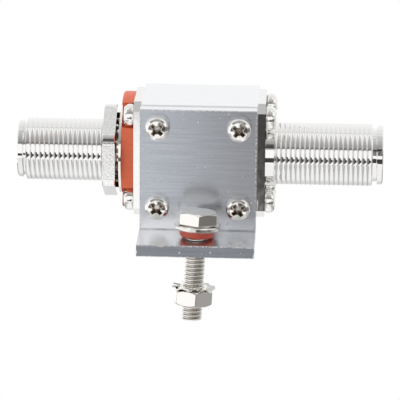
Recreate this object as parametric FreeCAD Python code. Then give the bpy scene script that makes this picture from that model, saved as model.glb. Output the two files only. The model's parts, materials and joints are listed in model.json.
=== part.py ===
import FreeCAD, Part
import math
import os
from FreeCAD import Vector

# Coaxial surge protector on an L bracket. Millimetres, +Z up.
# Everything is drawn about the coaxial line (X axis), then moved so that
# the origin lies on the underside of the bracket's foot.

# Body block
BLOCK_X = 18.2
BLOCK_Y = 15.4
BLOCK_Z = 18.6
BODY_CHAMFER = 2.65

# Bore through the block and both jacks
SEAT_R = 6.4
SPIGOT_WALL = 1.0
SPIGOT_CLEARANCE = 0.05
SPIGOT_R = SEAT_R + SPIGOT_WALL
BODY_BORE_R = SPIGOT_R + SPIGOT_CLEARANCE

# Bracket
LEG_T = 3.8
LEG_FRONT = -(BLOCK_Y + LEG_T)
LEG_TOP = 18.8
FOOT_TOP = -19.9
FOOT_UNDER = FOOT_TOP - LEG_T
FOOT_REACH = 16.8
FOOT_HOLE_OUT = 8.9
FOOT_HOLE_Y = LEG_FRONT - FOOT_HOLE_OUT
FOOT_HOLE_R = 3.7

# Screws (pan heads with cross recess)
SCREW_R = 2.0
SCREW_GRIP = 8.0
TAP_R = SCREW_R + 0.03
TAP_EXTRA = 0.6
CLEAR_R = SCREW_R + 0.2
HEAD_R = 3.85
HEAD_H = 3.3
BRACKET_SCREW_X = 12.7
BRACKET_SCREW_Z = 12.8
BRACKET_SCREW_LIFT = 0.3
FLANGE_SCREW_Y = 7.6
FLANGE_SCREW_Z = 13.5

# Jack flange and barrel, distances from the middle of the body
FLANGE_T = 2.5
FLANGE_Y = 11.5
FLANGE_Z = 18.5
FLANGE_X = BLOCK_X + FLANGE_T
LEFT_NECK_R = 9.9
RIGHT_NECK_R = 10.3
NECK_END = 23.4
THREAD_R = 10.0
LEFT_THREAD_END, LEFT_GROOVE_END, LEFT_END = 55.0, 56.0, 57.7
RIGHT_THREAD_END, RIGHT_GROOVE_END, RIGHT_END = 54.4, 55.9, 57.7
GROOVE_R = 8.4
LEFT_COLLAR_R = 9.1
RIGHT_COLLAR_R = 9.3
SPIGOT_X = 15.5
SOCKET_R = 5.75
SEAT_X = 46.0

# Parts inside each jack
INSULATOR_R = SEAT_R - 0.03
INSULATOR_X = 18.0
CONTACT_R = 2.0
CONTACT_TIP = 52.0
CONTACT_BORE_R = 1.25
CONTACT_BORE_LEN = 6.5
CONTACT_CONE = 0.7
CONTACT_SLOT = 0.5
CONTACT_SLOT_LEN = 4.5
CONTACT_COLLAR_R = 3.0
CONTACT_COLLAR_T = 1.0
STUD_R = 1.5
STUD_END = 12.0
RING_X = 16.0
RING_R = 3.6

# Line through the body
LINE_R = 3.0
LINE_END = 16.5
LINE_BORE_R = STUD_R + 0.03
LINE_BORE_X = 11.5
DISC_R = 5.0
DISC_T = 1.5
CAP_R = 4.6
CAP_T = 1.5
STACK_X = 1.0
SLEEVE_R = BODY_BORE_R - 0.05
SLEEVE_BORE_R = DISC_R + 0.05

# Gas tube pocket
TUBE_X = -5.0
TUBE_R = 4.0
TUBE_FLAT = -2.4
TUBE_END_T = 1.2
TUBE_BODY = 4.4
TUBE_WALL_R = 3.0
TUBE_STUB_R = 2.2
TUBE_STUB = 1.8
POCKET_R = 4.4
PLUG_R = 4.2
PLUG_T = 3.0
SPRING_T = 0.4
SPRING_IN_R = 1.6
SPRING_COUNT = 4

# Bulkhead hardware on the left barrel
GASKET_T = 3.9
GASKET_R = 18.4
GASKET_BAND_Y = 11.0
GASKET_BAND_Z = 9.8
GASKET_LIFT = 0.45
GASKET_NOTCH_R = 4.0
GASKET_BORE_R = THREAD_R + 0.05
GASKET_X = FLANGE_X + GASKET_T
WASHER_SPACE = 1.8
WASHER_T = 0.75
WASHER_RIM = 1.7
WASHER_OVER = 0.0
TOOTH_COUNT = 14
TOOTH_W = 2.6
TOOTH_T = 0.6
TOOTH_IN_R = THREAD_R + 0.35
TOOTH_TILT = 29.4
NUT_X = GASKET_X + WASHER_SPACE
NUT_T = 4.0
NUT_BORE_R = THREAD_R + 0.05
NUT_WALL = 3.35
NUT_AF = 2 * (NUT_BORE_R + NUT_WALL)
WASHER_R = NUT_AF / 2 + WASHER_OVER
WASHER_IN_R = WASHER_R - WASHER_RIM
NUT_TURN = 0.5
NUT_CORNER_R = 3.0

# Ground bolt and what it carries
BOLT_LEAN_SIDE = 2.8
BOLT_LEAN_BACK = 6.4
BOLT_R = 3.175
BOLT_LEN = 30.2
BOLT_HEAD_AF = 11.4
BOLT_HEAD_H = 4.2
BOLT_HEAD_TURN = 5.0
BOLT_SEAT_R = 5.4
BOLT_SEAT_T = 0.4
HEAD_UNDER = -15.53
FLAT_WASHER_R = 7.15
FLAT_WASHER_T = 1.4
RUBBER_R = 5.35
RUBBER_T = 2.3
STAR_R = 6.75
STAR_RIM_R = 5.0
STAR_T = 0.4
STAR_SPACE = 1.0
STAR_TEETH = 10
STAR_TOOTH_W = 1.9
STAR_TILT = 20.0
GROUND_NUT_AF = 11.11
GROUND_NUT_T = 4.76
BOLT_SHOWS = 5.0
GROUND_NUT_TOP = HEAD_UNDER - BOLT_LEN + BOLT_SHOWS + GROUND_NUT_T
GROUND_NUT_TURN = 9.7

# Frame: the coaxial line's place above the origin
LINE_Y = -LEG_FRONT
LINE_Z = -FOOT_UNDER

X_DIR = Vector(1, 0, 0)
Y_DIR = Vector(0, 1, 0)
Z_DIR = Vector(0, 0, 1)

os.makedirs("parts", exist_ok=True)


def save(name, shape):
    out = shape.copy()
    out.translate(Vector(0, LINE_Y, LINE_Z))
    out.exportStep("parts/" + name + ".step")


def rod(r, start, end, side=1):
    # Cylinder on the coaxial line, distances measured out from the middle
    return Part.makeCylinder(r, end - start, Vector(side * start, 0, 0), X_DIR * side)


def turned(points, side=1):
    # Revolve a closed outline of (distance, radius) pairs about the line
    wire = Part.makePolygon([Vector(side * a, 0, r) for a, r in points + points[:1]])
    return Part.Face(wire).revolve(Vector(0, 0, 0), X_DIR, 360)


def upright(points):
    # Revolve a closed outline of (radius, height) pairs about Z
    wire = Part.makePolygon([Vector(r, 0, z) for r, z in points + points[:1]])
    return Part.Face(wire).revolve(Vector(0, 0, 0), Z_DIR, 360)


def long_bar(half_y, half_z, x0, x1, chamfer):
    # Bar along X with its four long edges chamfered
    bar = Part.makeBox(x1 - x0, 2 * half_y, 2 * half_z, Vector(x0, -half_y, -half_z))
    edges = []
    for edge in bar.Edges:
        first, last = edge.Vertexes[0].Point, edge.Vertexes[-1].Point
        if abs(abs(last.x - first.x) - (x1 - x0)) < 1e-6:
            edges.append(edge)
    return bar.makeChamfer(chamfer, edges)


def hex_prism(flats, height, turn):
    # Hexagon about Z; at turn 0 one corner points along +X
    corner = flats / math.sqrt(3)
    points = []
    for i in range(7):
        a = math.radians(60 * i + turn)
        points.append(Vector(corner * math.cos(a), corner * math.sin(a), 0))
    return Part.Face(Part.makePolygon(points)).extrude(Vector(0, 0, height))


def chamfered_hex(flats, height, turn, inset, low, high, corner_r=0):
    # Hexagon with its corners turned off: inset is the depth at the end faces
    prism = hex_prism(flats, height, turn)
    if corner_r:
        upright_edges = []
        for edge in prism.Edges:
            if abs(edge.Vertexes[0].Point.z - edge.Vertexes[-1].Point.z) > height - 1e-6:
                upright_edges.append(edge)
        prism = prism.makeFillet(corner_r, upright_edges)
    corner = flats / math.sqrt(3)
    points = [(0, 0), (corner - inset, 0), (corner, low), (corner, height - high), (corner - inset, height), (0, height)]
    if not low:
        points = [(0, 0), (corner, 0), (corner, height - high), (corner - inset, height), (0, height)]
    return prism.common(upright(points))


def pan_screw():
    # Screw along Z: head above the origin, shank below it
    points = [(0, -SCREW_GRIP), (SCREW_R, -SCREW_GRIP), (SCREW_R, 0), (HEAD_R - 0.55, 0)]
    points += [(HEAD_R - 0.2, HEAD_H * 0.06), (HEAD_R - 0.05, HEAD_H * 0.17), (HEAD_R, HEAD_H * 0.3)]
    points += [(HEAD_R, HEAD_H * 0.45), (HEAD_R * 0.97, HEAD_H * 0.64), (HEAD_R * 0.88, HEAD_H * 0.82)]
    points += [(HEAD_R * 0.7, HEAD_H * 0.94), (HEAD_R * 0.3, HEAD_H), (0, HEAD_H)]
    screw = upright(points)
    return screw.cut(cross_recess())


def cross_recess():
    # Two crossed arms that narrow with depth, opened out in the middle
    top, low = HEAD_H + 0.1, HEAD_H * 0.3
    half, long_top, long_low = 0.6, 2.35, 1.1
    recess = Part.makeCone(0.7, 1.35, top - low, Vector(0, 0, low), Z_DIR)
    for turn in (0, 90):
        wide = [Vector(-long_top, -half, top), Vector(long_top, -half, top),
                Vector(long_low, -half, low), Vector(-long_low, -half, low)]
        arm = Part.Face(Part.makePolygon(wide + wide[:1])).extrude(Vector(0, 2 * half, 0))
        arm.rotate(Vector(0, 0, 0), Z_DIR, turn)
        recess = recess.fuse(arm)
    return recess


def screws_at(places, direction, turns):
    # A set of separate screws, each head pointing along direction
    solids = []
    for place, turn in zip(places, turns):
        screw = pan_screw()
        screw.rotate(Vector(0, 0, 0), Z_DIR, turn)
        screw.Placement = FreeCAD.Placement(place, FreeCAD.Rotation(Z_DIR, direction)) * screw.Placement
        solids.append(screw)
    return Part.makeCompound(solids)


def holes_at(places, direction, r, depth):
    holes = []
    for place in places:
        holes.append(Part.makeCylinder(r, depth, place, direction))
    return Part.makeCompound(holes)


def bracket_places(y):
    places = []
    for x in (-BRACKET_SCREW_X, BRACKET_SCREW_X):
        for z in (-BRACKET_SCREW_Z, BRACKET_SCREW_Z):
            places.append(Vector(x, y, z + BRACKET_SCREW_LIFT))
    return places


def flange_places(x):
    places = []
    for y in (-FLANGE_SCREW_Y, FLANGE_SCREW_Y):
        for z in (-FLANGE_SCREW_Z, FLANGE_SCREW_Z):
            places.append(Vector(x, y, z))
    return places


def body_block():
    block = long_bar(BLOCK_Y, BLOCK_Z, -BLOCK_X, BLOCK_X, BODY_CHAMFER)
    block = block.cut(Part.makeCylinder(BODY_BORE_R, 2 * BLOCK_X + 2, Vector(-BLOCK_X - 1, 0, 0), X_DIR))
    block = block.cut(Part.makeCylinder(POCKET_R, BLOCK_Y + 1, Vector(TUBE_X, -BLOCK_Y - 1, 0), Y_DIR))
    bracket_depth = SCREW_GRIP - LEG_T + TAP_EXTRA
    block = block.cut(holes_at(bracket_places(-BLOCK_Y), Y_DIR, TAP_R, bracket_depth))
    flange_depth = SCREW_GRIP - FLANGE_T + TAP_EXTRA
    block = block.cut(holes_at(flange_places(BLOCK_X), -X_DIR, TAP_R, flange_depth))
    return block.cut(holes_at(flange_places(-BLOCK_X), X_DIR, TAP_R, flange_depth))


def mounting_bracket():
    # L profile extruded along X, small radius in the corner, edges broken
    foot_front = LEG_FRONT - FOOT_REACH
    e = 0.25
    points = [
        (-BLOCK_Y, FOOT_UNDER + e), (-BLOCK_Y - e, FOOT_UNDER), (foot_front + e, FOOT_UNDER),
        (foot_front, FOOT_UNDER + e), (foot_front, FOOT_TOP - e), (foot_front + e, FOOT_TOP),
        (LEG_FRONT - 0.5, FOOT_TOP), (LEG_FRONT - 0.15, FOOT_TOP + 0.15), (LEG_FRONT, FOOT_TOP + 0.5),
        (LEG_FRONT, LEG_TOP - e), (LEG_FRONT + e, LEG_TOP), (-BLOCK_Y - e, LEG_TOP), (-BLOCK_Y, LEG_TOP - e),
    ]
    wire = Part.makePolygon([Vector(-BLOCK_X, y, z) for y, z in points + points[:1]])
    bracket = Part.Face(wire).extrude(Vector(2 * BLOCK_X, 0, 0))
    bracket = bracket.cut(holes_at(bracket_places(LEG_FRONT - 1), Y_DIR, CLEAR_R, LEG_T + 2))
    hole_foot = Vector(0, FOOT_HOLE_Y, FOOT_UNDER - 1)
    return bracket.cut(Part.makeCylinder(FOOT_HOLE_R, LEG_T + 2, hole_foot, Z_DIR))


def jack_shell(side, neck_r, thread_end, groove_end, end, collar_r):
    # Flange, neck, threaded barrel, end collar and rear spigot in one piece
    flange = long_bar(FLANGE_Y, FLANGE_Z, BLOCK_X, FLANGE_X, BODY_CHAMFER)
    if side < 0:
        flange = flange.mirror(Vector(0, 0, 0), X_DIR)
    points = [
        (SPIGOT_X, SEAT_R), (SPIGOT_X, SPIGOT_R - 0.3), (SPIGOT_X + 0.3, SPIGOT_R), (FLANGE_X - 0.5, SPIGOT_R),
        (FLANGE_X - 0.5, neck_r), (NECK_END, neck_r), (NECK_END, THREAD_R), (thread_end, THREAD_R),
        (thread_end, GROOVE_R), (groove_end - 0.3, GROOVE_R), (groove_end, collar_r), (end - 0.3, collar_r),
        (end, collar_r - 0.3), (end, SOCKET_R + 0.7), (end - 0.7, SOCKET_R), (SEAT_X, SOCKET_R), (SEAT_X, SEAT_R),
    ]
    shell = turned(points, side).fuse(flange.cut(rod(SPIGOT_R, BLOCK_X - 1, FLANGE_X + 1, side)))
    shell = shell.removeSplitter()
    return shell.cut(holes_at(flange_places(side * (FLANGE_X + 1)), -X_DIR * side, CLEAR_R, FLANGE_T + 2))


def insulator(side):
    bead = rod(INSULATOR_R, INSULATOR_X, SEAT_X, side)
    return bead.cut(rod(CONTACT_R + 0.02, INSULATOR_X - 1, SEAT_X + 1, side))


def retaining_ring(side):
    ring = rod(INSULATOR_R, RING_X, INSULATOR_X, side)
    return ring.cut(rod(RING_R, RING_X - 1, INSULATOR_X + 1, side))


def centre_contact(side):
    # Slotted socket in front, collar behind the insulator, stud into the line
    tip, collar = CONTACT_TIP, INSULATOR_X - CONTACT_COLLAR_T
    points = [
        (STUD_END, 0), (STUD_END, STUD_R - 0.2), (STUD_END + 0.2, STUD_R), (collar, STUD_R),
        (collar, CONTACT_COLLAR_R), (INSULATOR_X, CONTACT_COLLAR_R), (INSULATOR_X, CONTACT_R),
        (tip - 0.3, CONTACT_R), (tip, CONTACT_R - 0.3), (tip, CONTACT_BORE_R + 0.2),
        (tip - 0.3, CONTACT_BORE_R), (tip - CONTACT_BORE_LEN, CONTACT_BORE_R),
        (tip - CONTACT_BORE_LEN - CONTACT_CONE, 0),
    ]
    contact = turned(points, side)
    slot_mid = Vector(side * (tip - CONTACT_SLOT_LEN / 2 + 0.5), 0, 0)
    for w, h in ((CONTACT_SLOT, 6), (6, CONTACT_SLOT)):
        slot = Part.makeBox(CONTACT_SLOT_LEN + 1, w, h, Vector(-CONTACT_SLOT_LEN / 2 - 0.5, -w / 2, -h / 2))
        slot.translate(slot_mid)
        contact = contact.cut(slot)
    return contact


def surge_line():
    # Left half of the inner line, with the flat that the gas tube sits on
    line = rod(LINE_R, -STACK_X, LINE_END, -1)
    line = line.fuse(rod(DISC_R, STACK_X, STACK_X + DISC_T)).removeSplitter()
    line = line.cut(rod(LINE_BORE_R, LINE_BORE_X, LINE_END + 1, -1))
    flat_half = TUBE_R + 0.2
    deep, tall = 2 * LINE_R, 4 * LINE_R
    return line.cut(Part.makeBox(2 * flat_half, deep, tall, Vector(TUBE_X - flat_half, TUBE_FLAT - deep, -tall / 2)))


def capacitor():
    start = STACK_X + DISC_T
    return rod(CAP_R, start, start + CAP_T)


def output_line():
    start = STACK_X + DISC_T + CAP_T
    line = rod(DISC_R, start, start + DISC_T).fuse(rod(LINE_R, start, LINE_END)).removeSplitter()
    return line.cut(rod(LINE_BORE_R, LINE_BORE_X, LINE_END + 1))


def capacitor_sleeve():
    start, end = STACK_X - 0.4, STACK_X + 2 * DISC_T + CAP_T + 0.4
    return rod(SLEEVE_R, start, end).cut(rod(SLEEVE_BORE_R, start - 1, end + 1))


def in_pocket(shape):
    # Stand a shape drawn up Z in the tube's pocket, its foot on the line's flat
    shape.rotate(Vector(0, 0, 0), X_DIR, 90)
    shape.translate(Vector(TUBE_X, TUBE_FLAT, 0))
    return shape


def tube_inner_end():
    top = TUBE_END_T + TUBE_STUB
    return in_pocket(upright([(0, 0), (TUBE_R, 0), (TUBE_R, TUBE_END_T), (TUBE_STUB_R, TUBE_END_T),
                              (TUBE_STUB_R, top), (0, top)]))


def tube_body():
    low, high = TUBE_END_T, TUBE_END_T + TUBE_BODY
    return in_pocket(upright([(TUBE_WALL_R, low), (TUBE_R, low), (TUBE_R, high), (TUBE_WALL_R, high)]))


def tube_outer_end():
    low, high = TUBE_END_T + TUBE_BODY, 2 * TUBE_END_T + TUBE_BODY
    return in_pocket(upright([(0, low - TUBE_STUB), (TUBE_STUB_R, low - TUBE_STUB), (TUBE_STUB_R, low),
                              (TUBE_R, low), (TUBE_R, high), (0, high)]))


def tube_plug():
    low = 2 * TUBE_END_T + TUBE_BODY
    high = low + PLUG_T
    return in_pocket(upright([(0, low), (PLUG_R - 0.3, low), (PLUG_R, low + 0.3), (PLUG_R, high - 0.3),
                              (PLUG_R - 0.3, high), (0, high)]))


def disc_springs():
    # Dished washers stacked face to face between the plug and the bracket
    low = 2 * TUBE_END_T + TUBE_BODY + PLUG_T
    space = BLOCK_Y + TUBE_FLAT - low
    each = space / SPRING_COUNT
    solids = []
    for i in range(SPRING_COUNT):
        z0, z1 = low + i * each, low + (i + 1) * each
        if i % 2:
            inner, outer = z1, z0 + SPRING_T
        else:
            inner, outer = z0 + SPRING_T, z1
        points = [(SPRING_IN_R, inner - SPRING_T), (TUBE_R, outer - SPRING_T), (TUBE_R, outer), (SPRING_IN_R, inner)]
        solids.append(in_pocket(upright(points)))
    return Part.makeCompound(solids)


def gasket():
    # Round silicone pad with flat sides, cut away round the four screw heads
    r, soft = GASKET_R, 0.7
    pad = turned([(FLANGE_X, 0), (FLANGE_X, r), (GASKET_X - soft, r), (GASKET_X - 0.2, r - 0.2),
                  (GASKET_X, r - soft), (GASKET_X, 0)], -1)
    pad = pad.common(Part.makeBox(GASKET_T, 2 * GASKET_BAND_Y, 2 * r, Vector(-GASKET_X, -GASKET_BAND_Y, -r)))
    pad.translate(Vector(0, 0, GASKET_LIFT))
    pad = pad.cut(holes_at(flange_places(-FLANGE_X + 1), -X_DIR, GASKET_NOTCH_R, GASKET_T + 2))
    for y in (FLANGE_SCREW_Y, -FLANGE_SCREW_Y - r):
        for z in (GASKET_LIFT + GASKET_BAND_Z, GASKET_LIFT - GASKET_BAND_Z - r):
            pad = pad.cut(Part.makeBox(GASKET_T + 2, r, r, Vector(-GASKET_X - 1, y, z)))
    return pad.cut(rod(GASKET_BORE_R, FLANGE_X - 1, GASKET_X + 1, -1))


def bulkhead_washer():
    # Flat rim against the gasket, twisted teeth inside it reaching the nut
    rim = rod(WASHER_R, GASKET_X, GASKET_X + WASHER_T, -1)
    washer = rim.cut(rod(WASHER_IN_R, GASKET_X - 1, GASKET_X + 2, -1))
    middle = GASKET_X + WASHER_SPACE / 2
    reach = WASHER_IN_R + 0.4 - TOOTH_IN_R
    for i in range(TOOTH_COUNT):
        tooth = Part.makeBox(TOOTH_T, TOOTH_W, reach, Vector(-TOOTH_T / 2, -TOOTH_W / 2, TOOTH_IN_R))
        tooth.rotate(Vector(0, 0, 0), Z_DIR, TOOTH_TILT)
        tooth.translate(Vector(-middle, 0, 0))
        tooth.rotate(Vector(-middle, 0, 0), X_DIR, 360.0 / TOOTH_COUNT * i)
        washer = washer.fuse(tooth)
    bore = rod(TOOTH_IN_R, GASKET_X - 2, GASKET_X + 4, -1)
    faces = rod(WASHER_R + 1, GASKET_X, NUT_X, -1)
    return washer.cut(bore).common(faces)


def bulkhead_nut():
    nut = chamfered_hex(NUT_AF, NUT_T, 0, 0.9, 0.6, 0.6, NUT_CORNER_R)
    nut = nut.cut(upright([(0, -1), (NUT_BORE_R, -1), (NUT_BORE_R, NUT_T + 1), (0, NUT_T + 1)]))
    # Lay the nut along -X with a corner up, then lean that corner forwards
    nut.rotate(Vector(0, 0, 0), Y_DIR, -90)
    nut.translate(Vector(-NUT_X, 0, 0))
    nut.rotate(Vector(0, 0, 0), X_DIR, NUT_TURN)
    return nut


def on_bolt(shape):
    # Lean with the bolt and stand on its axis; heights are along the bolt
    pivot = Vector(0, FOOT_HOLE_Y, (FOOT_TOP + FOOT_UNDER) / 2)
    shape.translate(Vector(0, FOOT_HOLE_Y, 0))
    shape.rotate(pivot, X_DIR, -BOLT_LEAN_BACK)
    shape.rotate(pivot, Y_DIR, BOLT_LEAN_SIDE)
    return shape


def ground_bolt():
    head = chamfered_hex(BOLT_HEAD_AF, BOLT_HEAD_H - BOLT_SEAT_T, -90 + BOLT_HEAD_TURN, 1.0, 0, 0.6)
    head.translate(Vector(0, 0, HEAD_UNDER + BOLT_SEAT_T))
    head = head.fuse(Part.makeCylinder(BOLT_SEAT_R, BOLT_SEAT_T + 0.1, Vector(0, 0, HEAD_UNDER), Z_DIR))
    end = HEAD_UNDER - BOLT_LEN
    shank = upright([(0, end), (BOLT_R - 0.6, end), (BOLT_R, end + 0.6), (BOLT_R, HEAD_UNDER), (0, HEAD_UNDER)])
    return on_bolt(head.fuse(shank).removeSplitter())


def bolt_ring(r, top, thick, bore, e):
    # Ring round the bolt, its outer edges broken by e
    low = top - thick
    points = [(bore, low), (r - e, low), (r, low + e), (r, top - e), (r - e, top), (bore, top)]
    return on_bolt(upright(points))


def flat_washer():
    return bolt_ring(FLAT_WASHER_R, HEAD_UNDER, FLAT_WASHER_T, BOLT_R + 0.2, 0.3)


def rubber_washer():
    return bolt_ring(RUBBER_R, HEAD_UNDER - FLAT_WASHER_T, RUBBER_T, BOLT_R + 0.05, 0.35)


def star_washer():
    # Ring with twisted teeth round its outside
    middle = GROUND_NUT_TOP + STAR_SPACE / 2
    star = Part.makeCylinder(STAR_RIM_R, STAR_T, Vector(0, 0, middle - STAR_T / 2), Z_DIR)
    reach = STAR_R - STAR_RIM_R + 0.6
    for i in range(STAR_TEETH):
        low = Vector(STAR_RIM_R - 0.6, -STAR_TOOTH_W / 2, -STAR_T / 2)
        tooth = Part.makeBox(reach, STAR_TOOTH_W, STAR_T, low)
        tooth.rotate(Vector(0, 0, 0), X_DIR, STAR_TILT)
        tooth.translate(Vector(0, 0, middle))
        tooth.rotate(Vector(0, 0, 0), Z_DIR, 360.0 / STAR_TEETH * i + 9)
        star = star.fuse(tooth)
    bore = Part.makeCylinder(BOLT_R + 0.08, 6, Vector(0, 0, middle - 3), Z_DIR)
    faces = Part.makeCylinder(STAR_R + 2, STAR_SPACE, Vector(0, 0, GROUND_NUT_TOP), Z_DIR)
    return on_bolt(star.cut(bore).common(faces))


def ground_nut():
    nut = chamfered_hex(GROUND_NUT_AF, GROUND_NUT_T, -90 + GROUND_NUT_TURN, 0.9, 0.6, 0.6)
    nut = nut.cut(Part.makeCylinder(BOLT_R + 0.05, GROUND_NUT_T + 2, Vector(0, 0, -1), Z_DIR))
    nut.translate(Vector(0, 0, GROUND_NUT_TOP - GROUND_NUT_T))
    return on_bolt(nut)


bracket_heads = bracket_places(LEG_FRONT)
save("body_block", body_block())
save("mounting_bracket", mounting_bracket())
save("bracket_screws", screws_at(bracket_heads, -Y_DIR, (40, 48, 36, 50)))

save("left_jack_shell", jack_shell(-1, LEFT_NECK_R, LEFT_THREAD_END, LEFT_GROOVE_END, LEFT_END, LEFT_COLLAR_R))
save("right_jack_shell", jack_shell(1, RIGHT_NECK_R, RIGHT_THREAD_END, RIGHT_GROOVE_END, RIGHT_END, RIGHT_COLLAR_R))
save("left_flange_screws", screws_at(flange_places(-FLANGE_X), -X_DIR, (10, 35, 20, 50)))
save("right_flange_screws", screws_at(flange_places(FLANGE_X), X_DIR, (25, 5, 40, 15)))
for name, side in (("left", -1), ("right", 1)):
    save(name + "_insulator", insulator(side))
    save(name + "_contact", centre_contact(side))
    save(name + "_retaining_ring", retaining_ring(side))

save("surge_line", surge_line())
save("dc_block_capacitor", capacitor())
save("output_line", output_line())
save("capacitor_sleeve", capacitor_sleeve())
save("gas_tube_inner_end", tube_inner_end())
save("gas_tube_body", tube_body())
save("gas_tube_outer_end", tube_outer_end())
save("gas_tube_plug", tube_plug())
save("gas_tube_springs", disc_springs())

save("silicone_gasket", gasket())
save("bulkhead_lock_washer", bulkhead_washer())
save("bulkhead_nut", bulkhead_nut())

save("ground_bolt", ground_bolt())
save("ground_flat_washer", flat_washer())
save("ground_rubber_washer", rubber_washer())
save("ground_star_washer", star_washer())
save("ground_nut", ground_nut())
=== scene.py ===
import json
import math

import bmesh
import bpy
from mathutils import Matrix, Vector


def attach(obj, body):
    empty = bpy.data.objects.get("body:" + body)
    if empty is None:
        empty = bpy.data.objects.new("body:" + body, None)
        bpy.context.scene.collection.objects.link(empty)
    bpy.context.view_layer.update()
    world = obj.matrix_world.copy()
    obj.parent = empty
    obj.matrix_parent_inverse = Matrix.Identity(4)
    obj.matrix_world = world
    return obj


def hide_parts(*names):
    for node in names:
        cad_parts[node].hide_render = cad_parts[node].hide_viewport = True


MM = 0.001
DEGREES = 180 / math.pi

# The coaxial line's place in the frame, millimetres
AXIS_Y, AXIS_Z = 19.2, 23.7

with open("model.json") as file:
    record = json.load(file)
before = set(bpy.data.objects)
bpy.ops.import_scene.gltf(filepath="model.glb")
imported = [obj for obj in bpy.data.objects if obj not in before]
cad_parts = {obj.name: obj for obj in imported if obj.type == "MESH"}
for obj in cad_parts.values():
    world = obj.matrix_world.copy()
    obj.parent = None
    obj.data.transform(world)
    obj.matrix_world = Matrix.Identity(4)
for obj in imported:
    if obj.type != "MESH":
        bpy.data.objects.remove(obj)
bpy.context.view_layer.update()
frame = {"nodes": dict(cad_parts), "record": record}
nodes = frame["nodes"]


# Node helpers

def link(tree, a, b):
    tree.links.new(a, b)


def math_node(tree, operation, *values):
    node = tree.nodes.new("ShaderNodeMath")
    node.operation = operation
    for socket, value in zip(node.inputs, values):
        if isinstance(value, (int, float)):
            socket.default_value = value
        else:
            link(tree, value, socket)
    return node.outputs[0]


def combined(tree, operation, values):
    result = values[0]
    for value in values[1:]:
        result = math_node(tree, operation, result, value)
    return result


def product(tree, *values):
    return combined(tree, "MULTIPLY", values)


def total(tree, *values):
    return combined(tree, "ADD", values)


def highest(tree, *values):
    return combined(tree, "MAXIMUM", values)


def absolute(tree, value):
    return math_node(tree, "ABSOLUTE", value)


def inverse(tree, value):
    return math_node(tree, "SUBTRACT", 1.0, value)


def ramp(tree, value, start, end, at_start, at_end):
    # A smooth step from at_start to at_end as value goes from start to end
    node = tree.nodes.new("ShaderNodeMapRange")
    node.interpolation_type = "SMOOTHSTEP"
    node.inputs["From Min"].default_value = start
    node.inputs["From Max"].default_value = end
    node.inputs["To Min"].default_value = at_start
    node.inputs["To Max"].default_value = at_end
    link(tree, value, node.inputs["Value"])
    return node.outputs["Result"]


def ramps(tree, value, steps):
    # The product of several ramps of one value
    return product(tree, *(ramp(tree, value, *step) for step in steps))


def sloped(tree, value, at, level, slope, lowest, most):
    # level + slope * (value - at), kept between lowest and most
    line = total(tree, math_node(tree, "MULTIPLY", value, slope), level - slope * at)
    return math_node(tree, "MINIMUM", math_node(tree, "MAXIMUM", line, lowest), most)


def mix_colour(tree, factor, a, b):
    node = tree.nodes.new("ShaderNodeMix")
    node.data_type = "RGBA"
    link(tree, factor, node.inputs["Factor"])
    for socket, value in ((node.inputs[6], a), (node.inputs[7], b)):
        if isinstance(value, tuple):
            socket.default_value = (*value, 1)
        else:
            link(tree, value, socket)
    return node.outputs[2]


def mix_shader(tree, factor, a, b):
    node = tree.nodes.new("ShaderNodeMixShader")
    for socket, value in zip(node.inputs, (factor, a, b)):
        link(tree, value, socket)
    return node.outputs[0]


def position(tree):
    # Place on the part in millimetres, and the surface's normal on the part
    coordinates = tree.nodes.new("ShaderNodeTexCoord")
    place = tree.nodes.new("ShaderNodeSeparateXYZ")
    facing = tree.nodes.new("ShaderNodeSeparateXYZ")
    scaled = tree.nodes.new("ShaderNodeVectorMath")
    scaled.operation = "SCALE"
    scaled.inputs["Scale"].default_value = 1 / MM
    link(tree, coordinates.outputs["Object"], scaled.inputs[0])
    link(tree, scaled.outputs[0], place.inputs[0])
    link(tree, coordinates.outputs["Normal"], facing.inputs[0])
    return place.outputs, facing.outputs


def grain(tree, scale, detail, rough=0.5, stretch=(1, 1, 1)):
    # Noise over the part's own millimetres
    coordinates = tree.nodes.new("ShaderNodeTexCoord")
    mapping = tree.nodes.new("ShaderNodeMapping")
    mapping.inputs["Scale"].default_value = [s / MM for s in stretch]
    link(tree, coordinates.outputs["Object"], mapping.inputs["Vector"])
    node = tree.nodes.new("ShaderNodeTexNoise")
    node.inputs["Scale"].default_value = scale
    node.inputs["Detail"].default_value = detail
    node.inputs["Roughness"].default_value = rough
    link(tree, mapping.outputs["Vector"], node.inputs["Vector"])
    return node.outputs["Fac"]


# The middle of the noise's range, where its patches turn from low to high
PATCH_RANGE = 0.3, 0.7


def patchy(tree, scale, detail, low, high):
    # A value that drifts between low and high over the surface
    return ramp(tree, grain(tree, scale, detail), *PATCH_RANGE, low, high)


def bump(tree, shader, height, distance_mm):
    node = tree.nodes.new("ShaderNodeBump")
    node.inputs["Strength"].default_value = 1.0
    node.inputs["Distance"].default_value = distance_mm * MM
    link(tree, height, node.inputs["Height"])
    link(tree, node.outputs["Normal"], shader.inputs["Normal"])


def rounded_edges(tree, shader, radius_mm):
    # Shades hard edges as if they were slightly rounded
    bevel = tree.nodes.new("ShaderNodeBevel")
    bevel.samples = 6
    bevel.inputs["Radius"].default_value = radius_mm * MM
    link(tree, bevel.outputs["Normal"], shader.inputs["Normal"])
    return bevel.outputs["Normal"]


def open_air(tree, distance_mm, low, high, own_only):
    # 0 down in recesses and crevices, 1 where the surface lies open; it is the mask for painted
    # shade in hollows
    hollow = tree.nodes.new("ShaderNodeAmbientOcclusion")
    hollow.samples, hollow.only_local = 8, own_only
    hollow.inputs["Distance"].default_value = distance_mm * MM
    return ramp(tree, hollow.outputs["AO"], low, high, 0, 1)


# Materials

STEEL = (0.94, 0.92, 0.89)
EDGE_RADIUS = 0.28

# Bracket: half its width, its top, the top of its foot and the foot's front
BRACKET_X, BRACKET_TOP, FOOT_TOP, FOOT_FRONT = 18.2, 42.5, 3.8, -16.8
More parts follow.
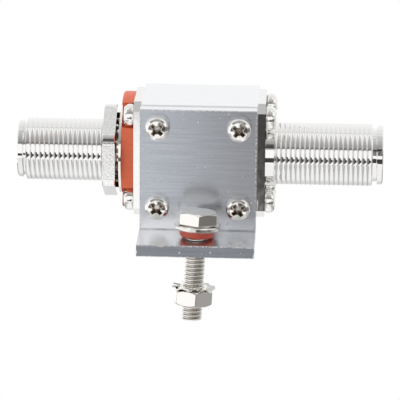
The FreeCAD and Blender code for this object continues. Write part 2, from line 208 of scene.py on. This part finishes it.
# Its colours, each between and on the drawn lines. The leg's front carries painted shade,
# lighter on the left and darker on the right, with darker painted shade on the foot's front
# edge; the pale low colour is a painted reflection of the foot on the leg
LEG_LEFT_SHADE = (0.72, 0.76, 0.83), (0.80, 0.84, 0.91)
LEG_RIGHT_SHADE = (0.48, 0.495, 0.53), (0.545, 0.56, 0.595)
FOOT_EDGE_SHADE = (0.33, 0.35, 0.385), (0.39, 0.41, 0.445)
LEG_LOW_FOOT_REFLECTION = (0.97, 0.98, 0.99)
BRACKET_REST = (0.94, 0.95, 0.97)
TORN = (0.98, 0.98, 0.98)


def new_material(name):
    material = bpy.data.materials.new(name)
    material.use_nodes = True
    tree = material.node_tree
    return material, tree, tree.nodes["Principled BSDF"]


def new_metal(name):
    material, tree, shader = new_material(name)
    shader.inputs["Metallic"].default_value = 1.0
    return material, tree, shader


def metal(name, colour, rough, drift, scale):
    # Plain metal with a drifting polish
    material, tree, shader = new_metal(name)
    shader.inputs["Base Color"].default_value = (*colour, 1)
    rough = patchy(tree, scale, 4.0, max(rough - drift, 0.02), rough + drift)
    link(tree, rough, shader.inputs["Roughness"])
    return material


def soft(name, colour, rough):
    # Rubber, plastic or ceramic, slightly mottled and uneven
    mottled = 0.05
    material, tree, shader = new_material(name)
    patches = grain(tree, 1.2, 3.0)
    dark = tuple(c * (1 - mottled) for c in colour)
    light = tuple(min(1, c * (1 + mottled)) for c in colour)
    base = mix_colour(tree, ramp(tree, patches, *PATCH_RANGE, 0, 1), dark, light)
    link(tree, base, shader.inputs["Base Color"])
    shader.inputs["Roughness"].default_value = rough
    bump(tree, shader, patches, 0.01)
    return material


def bracket_burrs(tree, place, facing, front):
    # 1 where a torn bright edge stands: down the sides, though not on the end
    # faces, along the top of the leg and round the foot's front
    x, y, z = place
    not_end = ramp(tree, absolute(tree, facing["X"]), 0.5, 0.9, 1, 0)
    side = ramp(tree, absolute(tree, x), BRACKET_X - 0.45, BRACKET_X - 0.15, 0, 1)
    top = ramp(tree, z, BRACKET_TOP - 0.32, BRACKET_TOP - 0.12, 0, 1)
    foot_front = ramp(tree, y, FOOT_FRONT + 0.1, FOOT_FRONT + 0.35, 1, 0)
    foot_rim = highest(tree, ramp(tree, z, FOOT_TOP - 0.45, FOOT_TOP - 0.15, 0, 1),
                       ramp(tree, z, 0.1, 0.4, 1, 0))
    torn = ramp(tree, grain(tree, 1.1, 4.0, 0.7), 0.50, 0.56, 0, 1)
    edges = highest(tree, product(tree, side, not_end), product(tree, top, front),
                    product(tree, foot_front, foot_rim))
    return product(tree, edges, torn)


def bracket_specks(tree, place, front):
    # Small chips here and there on the front
    density, picked, smallest, largest = 0.42, 0.80, 0.03, 0.13
    flat = tree.nodes.new("ShaderNodeCombineXYZ")
    link(tree, place["X"], flat.inputs[0])
    link(tree, place["Z"], flat.inputs[1])
    voronoi = tree.nodes.new("ShaderNodeTexVoronoi")
    voronoi.voronoi_dimensions = "2D"
    voronoi.inputs["Scale"].default_value = density
    link(tree, flat.outputs[0], voronoi.inputs["Vector"])
    pick = tree.nodes.new("ShaderNodeSeparateXYZ")
    link(tree, voronoi.outputs["Color"], pick.inputs[0])
    chosen = ramp(tree, pick.outputs["X"], picked, picked + 0.01, 0, 1)
    size = ramp(tree, pick.outputs["X"], picked, 1.0, smallest, largest)
    depth = math_node(tree, "SUBTRACT", size, voronoi.outputs["Distance"])
    return product(tree, ramp(tree, depth, 0.0, 0.02, 0, 1), chosen, front)


def bracket_material():
    # Drawn aluminium with faint lines along X. The leg's front carries painted shade that
    # darkens from left to right and a painted reflection of the foot that brightens its lower
    # left; the foot's front edge has darker painted shade
    material, tree, shader = new_metal("bracket_aluminium")
    place, facing = position(tree)
    x, y, z = place
    lines = grain(tree, 2.4, 3.0, 0.6, stretch=(0.02, 0.6, 1))
    tone = ramp(tree, lines, 0.35, 0.65, 0, 1)
    # Painted shade colours for the leg's left and right and for the foot's front edge
    leg_shade_left, leg_shade_right, foot_edge_shade = (mix_colour(tree, tone, *pair)
                         for pair in (LEG_LEFT_SHADE, LEG_RIGHT_SHADE, FOOT_EDGE_SHADE))
    leg_painted_light = mix_colour(tree, ramp(tree, x, -19.0, 20.0, 0, 1), leg_shade_left, leg_shade_right)
    # Painted reflection of the foot, pale low on the leg's left
    low = product(tree, ramp(tree, z, 6, 13, 0.8, 0), ramp(tree, x, -8, 14, 1, 0.12))
    leg_painted_light = mix_colour(tree, low, leg_painted_light, LEG_LOW_FOOT_REFLECTION)
    # Painted shade along the foot's front edge
    at_edge = ramp(tree, y, FOOT_FRONT + 0.1, FOOT_FRONT + 0.4, 1, 0)
    # Only faces turned to the front take the painted shade and reflection; the rest keep the
    # plain metal
    front = ramp(tree, facing["Y"], -0.9, -0.5, 1, 0)
    base = mix_colour(tree, front, BRACKET_REST, mix_colour(tree, at_edge, leg_painted_light, foot_edge_shade))
    marks = highest(tree, bracket_specks(tree, place, front),
                    bracket_burrs(tree, place, facing, front))
    link(tree, mix_colour(tree, marks, base, TORN), shader.inputs["Base Color"])
    link(tree, ramp(tree, marks, 0, 1, 0.27, 0.6), shader.inputs["Roughness"])
    shader.inputs["Anisotropic"].default_value = 0.5
    tangent = tree.nodes.new("ShaderNodeTangent")
    tangent.direction_type, tangent.axis = "RADIAL", "X"
    link(tree, tangent.outputs[0], shader.inputs["Tangent"])
    bump(tree, shader, total(tree, math_node(tree, "MULTIPLY", lines, 0.03), marks), 0.06)
    return material


def block_material():
    # Satin aluminium with matt white chamfers
    material, tree, shader = new_material("block_aluminium")
    _, facing = position(tree)
    square = highest(tree, *(absolute(tree, facing[axis]) for axis in "XYZ"))
    base = mix_colour(tree, patchy(tree, 2.0, 4.0, 0, 1), (0.95, 0.96, 0.98), (0.98, 0.99, 1.0))
    link(tree, base, shader.inputs["Base Color"])
    link(tree, ramp(tree, square, 0.75, 0.95, 0.95, 0.38), shader.inputs["Roughness"])
    link(tree, ramp(tree, square, 0.75, 0.95, 0, 1), shader.inputs["Metallic"])
    bump(tree, shader, grain(tree, 6.0, 3.0, 0.6), 0.01)
    return material


def washer_material(name, colour, rim_x=None):
    # Plated steel, with painted shade in the crevices beside its neighbours and, on the left of
    # rim_x, painted shade on the teeth
    # Colours of the painted shade in the crevices and on the teeth
    crevice_shade, teeth_shade = (0.10, 0.07, 0.05), (0.15, 0.11, 0.085)
    material, tree, shader = new_metal(name)
    # Painted shade where the neighbouring parts close in
    clear = open_air(tree, 0.9, 0.25, 0.65, own_only=False)
    base = mix_colour(tree, clear, crevice_shade, colour)
    if rim_x is not None:
        place, _ = position(tree)
        base = mix_colour(tree, ramp(tree, place["X"], rim_x - 0.15, rim_x, 0, 1), teeth_shade, base)
    link(tree, base, shader.inputs["Base Color"])
    link(tree, patchy(tree, 1.5, 4.0, 0.10, 0.18), shader.inputs["Roughness"])
    return material


def nut_material():
    # Dull plating with a coarse grain, and a painted dark reflection along the corner that
    # faces the front
    material, tree, shader = new_metal("nut_grain")
    fine = grain(tree, 1.9, 3.0, 0.6)
    plating = mix_colour(tree, ramp(tree, fine, 0.4, 0.6, 0, 1),
                         (0.88, 0.875, 0.87), (1.0, 0.995, 0.99))
    _, facing = position(tree)
    forwards = math_node(tree, "MULTIPLY", facing["Y"], -1.0)
    turn = product(tree, math_node(tree, "ARCTAN2", facing["Z"], forwards), DEGREES)
    # Painted dark reflection on the corner facet that faces the front
    painted_corner_reflection = ramps(tree, turn, ((7, 11, 0, 1), (24, 30, 1, 0)))
    base = mix_colour(tree, painted_corner_reflection, plating, (0.10, 0.095, 0.09))
    link(tree, base, shader.inputs["Base Color"])
    shader.inputs["Roughness"].default_value = 0.105
    bump(tree, shader, fine, 0.02)
    return material


def ground_nut_material():
    # Bright steel with painted dark reflections on its corners, found where the rounded normal
    # departs from the flat one
    material, tree, shader = new_metal("ground_nut_steel")
    rounded = rounded_edges(tree, shader, 0.4)
    geometry = tree.nodes.new("ShaderNodeNewGeometry")
    agreement = tree.nodes.new("ShaderNodeVectorMath")
    agreement.operation = "DOT_PRODUCT"
    link(tree, rounded, agreement.inputs[0])
    link(tree, geometry.outputs["Normal"], agreement.inputs[1])
    flat = ramp(tree, agreement.outputs["Value"], 0.90, 0.975, 0, 1)
    # Painted dark reflections where the corners turn
    link(tree, mix_colour(tree, flat, (0.16, 0.13, 0.11), STEEL), shader.inputs["Base Color"])
    shader.inputs["Roughness"].default_value = 0.10
    return material


def screw_material(name="screw_steel", top_rough=None):
    # Bright steel with brownish painted shade down in the recesses; top_rough is for the forged
    # top of a bolt's head
    material, tree, shader = new_metal(name)
    rounded_edges(tree, shader, EDGE_RADIUS)
    clear = open_air(tree, 1.5, 0.45, 0.9, own_only=True)
    # Painted shade in the recesses, brownish
    link(tree, mix_colour(tree, clear, (0.27, 0.21, 0.15), STEEL), shader.inputs["Base Color"])
    rough = patchy(tree, 1.0, 3.0, 0.07, 0.14)
    if top_rough is not None:
        _, facing = position(tree)
        rough = highest(tree, rough, ramp(tree, facing["Z"], 0.90, 0.97, 0, top_rough))
    link(tree, rough, shader.inputs["Roughness"])
    return material


MATERIALS = {
    "nickel_shell": metal("nickel", (0.91, 0.905, 0.895), 0.05, 0.01, 0.6),
    "block_aluminium": block_material(),
    "bracket_aluminium": bracket_material(),
    "nut_steel": nut_material(),
    "screw_steel": screw_material(),
    "washer_steel": washer_material("washer_steel", (0.86, 0.84, 0.80)),
    "silicone_red": soft("silicone_red", (0.98, 0.19, 0.085), 0.38),
    "white_ptfe": soft("white_ptfe", (0.88, 0.88, 0.86), 0.45),
    "silvered_brass": metal("silvered_brass", (0.88, 0.78, 0.55), 0.16, 0.03, 1.0),
    "tube_ceramic": soft("tube_ceramic", (0.82, 0.79, 0.74), 0.3),
    "tube_metal": metal("tube_metal", (0.78, 0.76, 0.72), 0.2, 0.03, 1.0),
    "capacitor_ceramic": soft("capacitor_ceramic", (0.30, 0.19, 0.11), 0.4),
    "spring_steel": metal("spring_steel", (0.62, 0.60, 0.56), 0.25, 0.03, 1.0),
}

# The lock washer's teeth stand out from its rim, towards the nut on its left
TOOTH_REACH = 1.05
lock_left = min(v.co.x for v in nodes["bulkhead_lock_washer"].data.vertices) / MM

# Nodes that look different from the rest of their slot
OWN_MATERIALS = {
    "ground_rubber_washer": soft("washer_red", (0.62, 0.10, 0.06), 0.38),
    "bulkhead_lock_washer": washer_material(
        "lock_washer_steel", (0.95, 0.91, 0.84), lock_left + TOOTH_REACH),
    "ground_nut": ground_nut_material(),
}

# Edges sharper than these, in degrees, stay hard
SHARP_SCREWS, SHARP_NODES, SHARP_SHELL, SHARP_BOLT = 48, 28, 40, 14


def dress(obj, slot, material=None):
    obj.data.materials.clear()
    obj.data.materials.append(material or MATERIALS[slot])


def smooth(obj, sharp):
    obj.data.polygons.foreach_set("use_smooth", [True] * len(obj.data.polygons))
    obj.data.set_sharp_from_angle(angle=math.radians(sharp))


slots = {row["node"]: row["material_slot"] for row in frame["record"]["subparts"]}
for name, obj in nodes.items():
    dress(obj, slots[name], OWN_MATERIALS.get(name))
    smooth(obj, SHARP_SCREWS if name.endswith("_screws") else SHARP_NODES)


# Threads

def thread_profile(*slopes):
    # One pitch from root to root as (place, depth), both in pitches, from the
    # slope in degrees at each place between the crest (0) and the root (0.5)
    half, depth = [(0.0, 0.0)], 0.0
    for (u0, a0), (u1, a1) in zip(slopes, slopes[1:]):
        depth += (u1 - u0) * math.tan(math.radians((a0 + a1) / 2))
        half.append((u1, depth))
    return [(-u, d) for u, d in reversed(half)] + half[1:-1]


# The barrels are cut shallow, with narrow crests and wide hollow roots
BARREL_PROFILE = thread_profile(
    (0, 0), (0.02, 30), (0.04, 48), (0.09, 47), (0.12, 32),
    (0.15, 19), (0.22, 15), (0.35, 9), (0.5, 0))
BARREL_R, BARREL_PITCH, BARREL_STEPS = 10.0, 1.5, 96
THREAD_START, RIGHT_THREAD_END, LEFT_THREAD_END = 23.4, 54.4, 55.0
GROOVE_R = 8.4

# The bolt has flat crests and roots with steep flanks
BOLT_PROFILE = thread_profile(
    (0, 0), (0.12, 4), (0.15, 35), (0.18, 71), (0.28, 71), (0.31, 35), (0.34, 6), (0.5, 0))
BOLT_R, BOLT_PITCH, BOLT_STEPS = 3.175, 1.27, 64
HEAD_UNDER, BOLT_LENGTH = 8.17, 30.2

# The 45 degree lead at a thread's end goes down by this share of the depth
LEAD_DEPTH = 0.75
# How near a CAD corner lies to the surface that it belongs to, millimetres
NEAR = 0.02


def thread_mesh(name, start, end, major, pitch, profile, around, end_r):
    # Helical thread along +X from start to end, millimetres. It is closed by a
    # ring of its own radius at the start and of end_r at the end
    rows = len(profile)
    depth = pitch * max(d for _, d in profile)
    turns = int(math.ceil((end - start) / pitch)) + 2
    count = turns * rows + 1
    verts, faces = [], []
    for j in range(around + 1):
        angle = 2 * math.pi * j / around
        for k in range(count):
            t, down = profile[k % rows]
            x = start + pitch * (k // rows + t + 0.5 - j / around)
            r = min(major - pitch * down, major - LEAD_DEPTH * depth + (end - x))
            if x <= start:
                x, r = start, major
            if x >= end:
                x, r = end, end_r
            verts.append((x * MM, -r * MM * math.cos(angle), r * MM * math.sin(angle)))
    for j in range(around):
        for k in range(count - 1):
            a = j * count + k
            b = a + count
            faces.append((a, a + 1, b + 1, b))
    mesh = bpy.data.meshes.new(name)
    mesh.from_pydata(verts, [], faces)
    bm = bmesh.new()
    bm.from_mesh(mesh)
    bmesh.ops.remove_doubles(bm, verts=bm.verts, dist=1e-6)
    bmesh.ops.dissolve_degenerate(bm, dist=1e-7, edges=bm.edges)
    bmesh.ops.recalc_face_normals(bm, faces=bm.faces)
    bm.to_mesh(mesh)
    bm.free()
    return mesh


def copy_without(name, node, drop):
    # A copy of a CAD node's mesh without the faces that drop() picks
    obj = bpy.data.objects.new(name, nodes[node].data.copy())
    bpy.context.scene.collection.objects.link(obj)
    bm = bmesh.new()
    bm.from_mesh(obj.data)
    gone = [f for f in bm.faces if drop([v.co / MM for v in f.verts])]
    bmesh.ops.delete(bm, geom=gone, context="FACES")
    bm.to_mesh(obj.data)
    bm.free()
    return obj


def join_mesh(obj, mesh):
    bm = bmesh.new()
    bm.from_mesh(obj.data)
    bm.from_mesh(mesh)
    bm.to_mesh(obj.data)
    bm.free()


def threaded_shell(name, node, side, end):
    # side is 1 on the right and -1 on the left
    def drop(points):
        # The plain barrel and the step down to the groove beyond it
        radii = [math.hypot(p.y - AXIS_Y, p.z - AXIS_Z) for p in points]
        xs = [side * p.x for p in points]
        on_barrel = all(abs(r - BARREL_R) < 0.03 for r in radii)
        within = min(xs) > THREAD_START - NEAR and max(xs) < end + NEAR
        on_step = all(abs(x - end) < NEAR for x in xs) and min(radii) > GROOVE_R - 0.05
        return (on_barrel and within) or on_step

    shell = copy_without(name, node, drop)
    mesh = thread_mesh(name + "_thread", THREAD_START, end, BARREL_R, BARREL_PITCH,
                       BARREL_PROFILE, BARREL_STEPS, GROOVE_R)
    if side < 0:
        mesh.transform(Matrix.Rotation(math.pi, 4, "Z"))
    mesh.transform(Matrix.Translation((0, AXIS_Y * MM, AXIS_Z * MM)))
    join_mesh(shell, mesh)
    smooth(shell, SHARP_SHELL)
    dress(shell, "nickel_shell")
    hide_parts(node)
    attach(shell, "housing")


threaded_shell("right_jack", "right_jack_shell", 1, RIGHT_THREAD_END)
threaded_shell("left_jack", "left_jack_shell", -1, LEFT_THREAD_END)


# Ground bolt: it leans about the middle of the foot's hole, and its shank is cut
# to a thread from under the head to the end

LEAN_SIDE, LEAN_BACK = math.radians(2.8), math.radians(6.4)
HOLE_Y, HOLE_MIDDLE = -8.9, 1.9
BOLT_TO_FRAME = (
    Matrix.Translation(Vector((0, HOLE_Y, HOLE_MIDDLE)) * MM)
    @ Matrix.Rotation(LEAN_SIDE, 4, "Y") @ Matrix.Rotation(-LEAN_BACK, 4, "X")
    @ Matrix.Translation(Vector((0, 0, -HOLE_MIDDLE)) * MM)
)
FRAME_TO_BOLT = BOLT_TO_FRAME.inverted()


def threaded_bolt():
    def drop(points):
        # The plain shank
        local = [FRAME_TO_BOLT @ (p * MM) / MM for p in points]
        return all(math.hypot(q.x, q.y) < BOLT_R + 0.025 and q.z < HEAD_UNDER + NEAR
                   for q in local)

    bolt = copy_without("ground_bolt_threaded", "ground_bolt", drop)
    mesh = thread_mesh("bolt_thread", 0, BOLT_LENGTH, BOLT_R, BOLT_PITCH,
                       BOLT_PROFILE, BOLT_STEPS, 0.0)
    mesh.transform(Matrix.Rotation(math.pi / 2, 4, "Y"))
    mesh.transform(Matrix.Translation((0, 0, HEAD_UNDER * MM)))
    mesh.transform(BOLT_TO_FRAME)
    join_mesh(bolt, mesh)
    smooth(bolt, SHARP_BOLT)
    dress(bolt, "screw_steel", screw_material("bolt_steel", top_rough=0.45))
    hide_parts("ground_bolt")
    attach(bolt, "housing")


threaded_bolt()


# Camera: where it stands in degrees and metres, the point it looks at in
# millimetres, and its focal length in pixels of the square frame

AZIMUTH, ELEVATION, ROLL = 2.42, 17.27, 0.486
DISTANCE = 0.9
TARGET_X, TARGET_BELOW_AXIS = -0.11, 16.15
FOCAL_PX, FRAME_PX, SENSOR_MM = 2817.8, 400, 36


def build_camera():
    camera = bpy.data.objects.new("camera", bpy.data.cameras.new("camera"))
    bpy.context.scene.collection.objects.link(camera)
    a, e = math.radians(AZIMUTH), math.radians(ELEVATION)
    back = Vector((math.sin(a) * math.cos(e), -math.cos(a) * math.cos(e), math.sin(e)))
    target = Vector((TARGET_X, AXIS_Y, AXIS_Z - TARGET_BELOW_AXIS)) * MM
    camera.location = target + back * DISTANCE
    camera.rotation_mode = "QUATERNION"
    look = (-back).to_track_quat("-Z", "Y")
    roll = Matrix.Rotation(math.radians(ROLL), 3, "Z").to_quaternion()
    camera.rotation_quaternion = look @ roll
    camera.data.sensor_width = SENSOR_MM
    camera.data.lens = FOCAL_PX / FRAME_PX * SENSOR_MM
    camera.data.clip_start, camera.data.clip_end = 0.1, 10
    camera.data.dof.use_dof = False
    bpy.context.scene.camera = camera


build_camera()


# World: a white tent with the dark gaps that the bright metal mirrors.
# Pitch turns about the X axis from the front horizon over the top, height is the
# elevation and side the bearing to the right of the front, all in degrees, and x
# is the direction's own. Each step below is for ramp(): start, end and the value
# at each.

# The dark part of the roof, and how it narrows to a point overhead, in x
ROOF = (37, 39, 0, 1), (95, 99, 1, 0)
ROOF_DARKNESS = (42, 92, 0.66, 0.40)
ROOF_REACH = (97, 0.08, -0.0170, 0.08, 1.0)
ROOF_SOFT = 0.03
# Dark lines across the roof: low and high pitch, softness and value inside
DARK_LINES = (32, 39, 1.2, 0.22), (101, 105, 1.5, 0.72)
# How bright the white is, brighter behind, and what the front has on top
WHITE_LEVEL, FRONT_GAIN = (115, 155, 0.87, 0.99), (97, 102, 0.22, 0)
# The camera and its stand
LENS_X = (0.012, 0.018, 0, 0.92), (0.030, 0.036, 1, 0)
LENS_PITCH = (11, 14, 0, 1), (37, 40, 1, 0)
STAND_X = (-0.032, -0.024, 0, 0.80), (-0.012, -0.004, 1, 0)
STAND_PITCH = (26, 29, 0, 1), (44, 50, 1, 0)
# The dark gap between tent and table: narrow on the left, wider on the right
GAP_TOP = (-6.0, -6.0, 0.8, -6.0, 2.0)
GAP_LOW = (-2.6, -15.6, -1.7, -19.5, -15.3)
GAP_TOP_SOFT, GAP_LOW_SOFT = 0.6, 0.5
GAP_SIDE = (-39, -30, 0, 1), (95, 120, 1, 0.2)
GAP_DARKNESS = (12, 34, 0.95, 0.62), (42, 62, 0, 0.08), (70, 76, 0, -0.34)
# A grey panel low on the right, and a darker strip that stands there
PANEL_SIDE, PANEL_HEIGHT = ((38, 55, 0, 0.45), (110, 135, 1, 0)), (4, 10, 1, 0)
STRIP_SIDE = (22, 31, 0, 0.55), (38, 46, 1, 0)
STRIP_HEIGHT = (-40, -30, 0, 1), (26, 34, 1, 0)
# The table below
TABLE = (-62, -24, 0.78, 0.90)
# The tent's full strength, and the tint of what is darker than half of it
TENT_STRENGTH = 1.08
SHADE_TINT, WHITE = (1.0, 0.93, 0.87), (1.0, 1.0, 1.0)


def tent_level(tree, direction):
    # How bright the tent is in a direction, from 0 to about 1
    x, y, z = direction
    forwards = math_node(tree, "MULTIPLY", y, -1.0)
    pitch = product(tree, math_node(tree, "ARCTAN2", z, forwards), DEGREES)
    height = product(tree, math_node(tree, "ARCSINE", z), DEGREES)
    side = product(tree, math_node(tree, "ARCTAN2", x, forwards), DEGREES)

    reach = sloped(tree, pitch, *ROOF_REACH)
    past_reach = math_node(tree, "SUBTRACT", absolute(tree, x), reach)
    dark = product(tree, ramps(tree, pitch, ROOF), ramp(tree, pitch, *ROOF_DARKNESS),
                   ramp(tree, past_reach, -ROOF_SOFT, ROOF_SOFT, 1, 0))
    lines = []
    for low, high, blur, value in DARK_LINES:
        inside = ramps(tree, pitch, ((low - blur, low + blur, 0, 1),
                                     (high - blur, high + blur, 1, 0)))
        lines.append(inverse(tree, math_node(tree, "MULTIPLY", inside, 1 - value)))
    bright = total(tree, ramp(tree, pitch, *WHITE_LEVEL), ramp(tree, pitch, *FRONT_GAIN))

    lens = product(tree, ramps(tree, x, LENS_X), ramps(tree, pitch, LENS_PITCH))
    stand = product(tree, ramps(tree, x, STAND_X), ramps(tree, pitch, STAND_PITCH))

    above_top = math_node(tree, "SUBTRACT", height, sloped(tree, side, *GAP_TOP))
    above_low = math_node(tree, "SUBTRACT", height, sloped(tree, side, *GAP_LOW))
    gap = product(tree, ramp(tree, above_top, -GAP_TOP_SOFT, GAP_TOP_SOFT, 1, 0),
                  ramp(tree, above_low, -GAP_LOW_SOFT, GAP_LOW_SOFT, 0, 1),
                  total(tree, *(ramp(tree, side, *step) for step in GAP_DARKNESS)),
                  ramps(tree, side, GAP_SIDE))

    panel = product(tree, ramps(tree, side, PANEL_SIDE), ramp(tree, height, *PANEL_HEIGHT))
    strip = product(tree, ramps(tree, side, STRIP_SIDE), ramps(tree, height, STRIP_HEIGHT))

    left_by = (inverse(tree, shade) for shade in (dark, lens, stand, gap, panel, strip))
    return product(tree, bright, *lines, *left_by, ramp(tree, height, *TABLE))


def build_world():
    world = bpy.data.worlds.new("tent")
    bpy.context.scene.world = world
    world.use_nodes = True
    tree = world.node_tree
    tree.nodes.clear()
    coordinates = tree.nodes.new("ShaderNodeTexCoord")
    direction = tree.nodes.new("ShaderNodeSeparateXYZ")
    link(tree, coordinates.outputs["Generated"], direction.inputs[0])
    level = tent_level(tree, direction.outputs)
    tent = tree.nodes.new("ShaderNodeBackground")
    tint = mix_colour(tree, ramp(tree, level, 0.0, 0.5, 0, 1), SHADE_TINT, WHITE)
    link(tree, tint, tent.inputs["Color"])
    link(tree, product(tree, level, TENT_STRENGTH), tent.inputs["Strength"])
    # The camera itself sees plain white
    white = tree.nodes.new("ShaderNodeBackground")
    white.inputs["Color"].default_value = (*WHITE, 1)
    white.inputs["Strength"].default_value = 1.0
    path = tree.nodes.new("ShaderNodeLightPath")
    seen = mix_shader(tree, path.outputs["Is Camera Ray"], tent.outputs[0], white.outputs[0])
    link(tree, seen, tree.nodes.new("ShaderNodeOutputWorld").inputs["Surface"])


build_world()


# Floor, well below the hanging part: how far and how wide, in metres

FLOOR_DROP, FLOOR_R = 0.13, 0.33
# The pool of light that the metal mirrors, millimetres out and back
POOL_ACROSS, POOL_BACK = (56, 150, 0.97, 0.48), (20, 110, 1, 0.74)


def floor_material():
    # White where it is seen, a soft pool of light where it is mirrored, and lit
    # like any floor otherwise; it is open from below
    material, tree, shader = new_material("floor_white")
    shader.inputs["Base Color"].default_value = (0.9, 0.9, 0.9, 1)
    shader.inputs["Roughness"].default_value = 0.9
    rays = tree.nodes.new("ShaderNodeLightPath").outputs
    geometry = tree.nodes.new("ShaderNodeNewGeometry")
    place, _ = position(tree)
    pool = product(tree, ramp(tree, absolute(tree, place["X"]), *POOL_ACROSS),
                   ramp(tree, place["Y"], *POOL_BACK))
    glow = tree.nodes.new("ShaderNodeEmission")
    glow.inputs["Color"].default_value = (*WHITE, 1)
    link(tree, highest(tree, rays["Is Camera Ray"], pool), glow.inputs["Strength"])
    clear = tree.nodes.new("ShaderNodeBsdfTransparent")
    seen = highest(tree, rays["Is Camera Ray"], rays["Is Glossy Ray"],
                   rays["Is Transmission Ray"])
    above = mix_shader(tree, seen, shader.outputs[0], glow.outputs[0])
    surface = mix_shader(tree, geometry.outputs["Backfacing"], above, clear.outputs[0])
    link(tree, surface, tree.nodes["Material Output"].inputs["Surface"])
    return material


def build_floor():
    bm = bmesh.new()
    bmesh.ops.create_circle(bm, cap_ends=True, segments=96, radius=FLOOR_R)
    mesh = bpy.data.meshes.new("floor")
    bm.to_mesh(mesh)
    bm.free()
    floor = bpy.data.objects.new("floor", mesh)
    bpy.context.scene.collection.objects.link(floor)
    floor.location = (0, 0, -FLOOR_DROP)
    mesh.materials.append(floor_material())


build_floor()

bpy.context.scene.view_settings.view_transform = "Standard"
